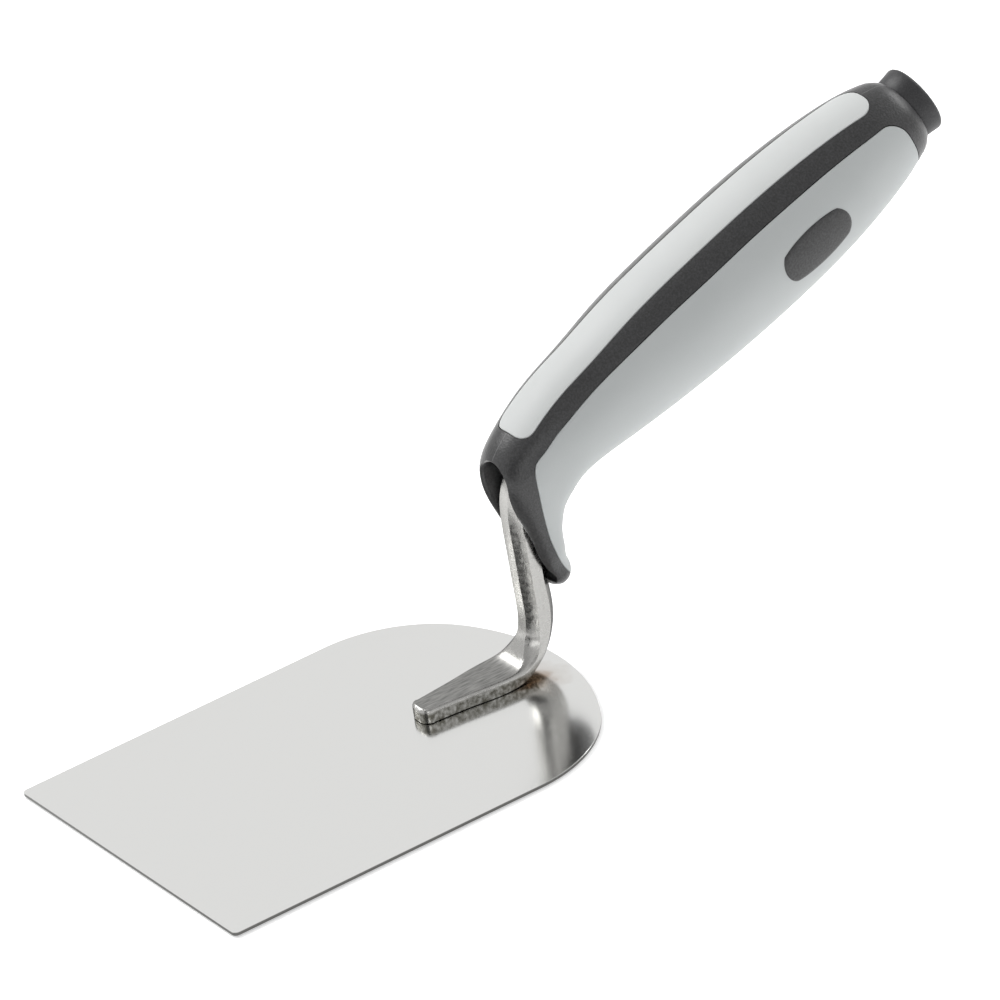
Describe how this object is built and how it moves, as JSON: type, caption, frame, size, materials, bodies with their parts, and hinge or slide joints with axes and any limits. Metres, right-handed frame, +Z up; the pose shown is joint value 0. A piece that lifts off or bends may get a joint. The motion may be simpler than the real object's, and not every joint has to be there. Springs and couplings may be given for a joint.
{
  "type": "margin trowel",
  "caption": "Rounded margin trowel: thin flat steel blade with a round heel, cranked steel shank welded on top, and a soft-skinned handle with a finger guard.",
  "frame": {"origin": "centre of the blade's flat underside, midway between its front edge and the end of its heel", "axes": "+Z up out of the blade's top face, -Y towards the straight working edge, +Y towards the heel and the butt of the handle, X across the blade; the tool is symmetrical about X = 0"},
  "size_m": [0.08, 0.2203, 0.097],
  "materials": {
    "polished_blade": "mirror-polished stainless sheet, slightly blurred",
    "weld_steel": "dull heat-darkened weld metal",
    "forged_steel": "tumbled and brushed forging, rougher on the foot's sides, heat tint at the heel",
    "dark_plastic": "charcoal moulded plastic with a fine spark-eroded texture",
    "soft_grey_top": "light grey soft moulded skin, satin",
    "soft_grey_sleeve": "light grey soft moulded skin, satin",
    "cap_plastic": "near-black moulded plastic, fine texture"
  },
  "bodies": {
    "root": {"blade": "polished_blade", "weld_nuggets": "weld_steel", "shank": "forged_steel", "handle_core": "dark_plastic", "top_grip_pad": "soft_grey_top", "lower_grip_sleeve": "soft_grey_sleeve", "butt_cap": "cap_plastic"}
  },
  "joints": []
}
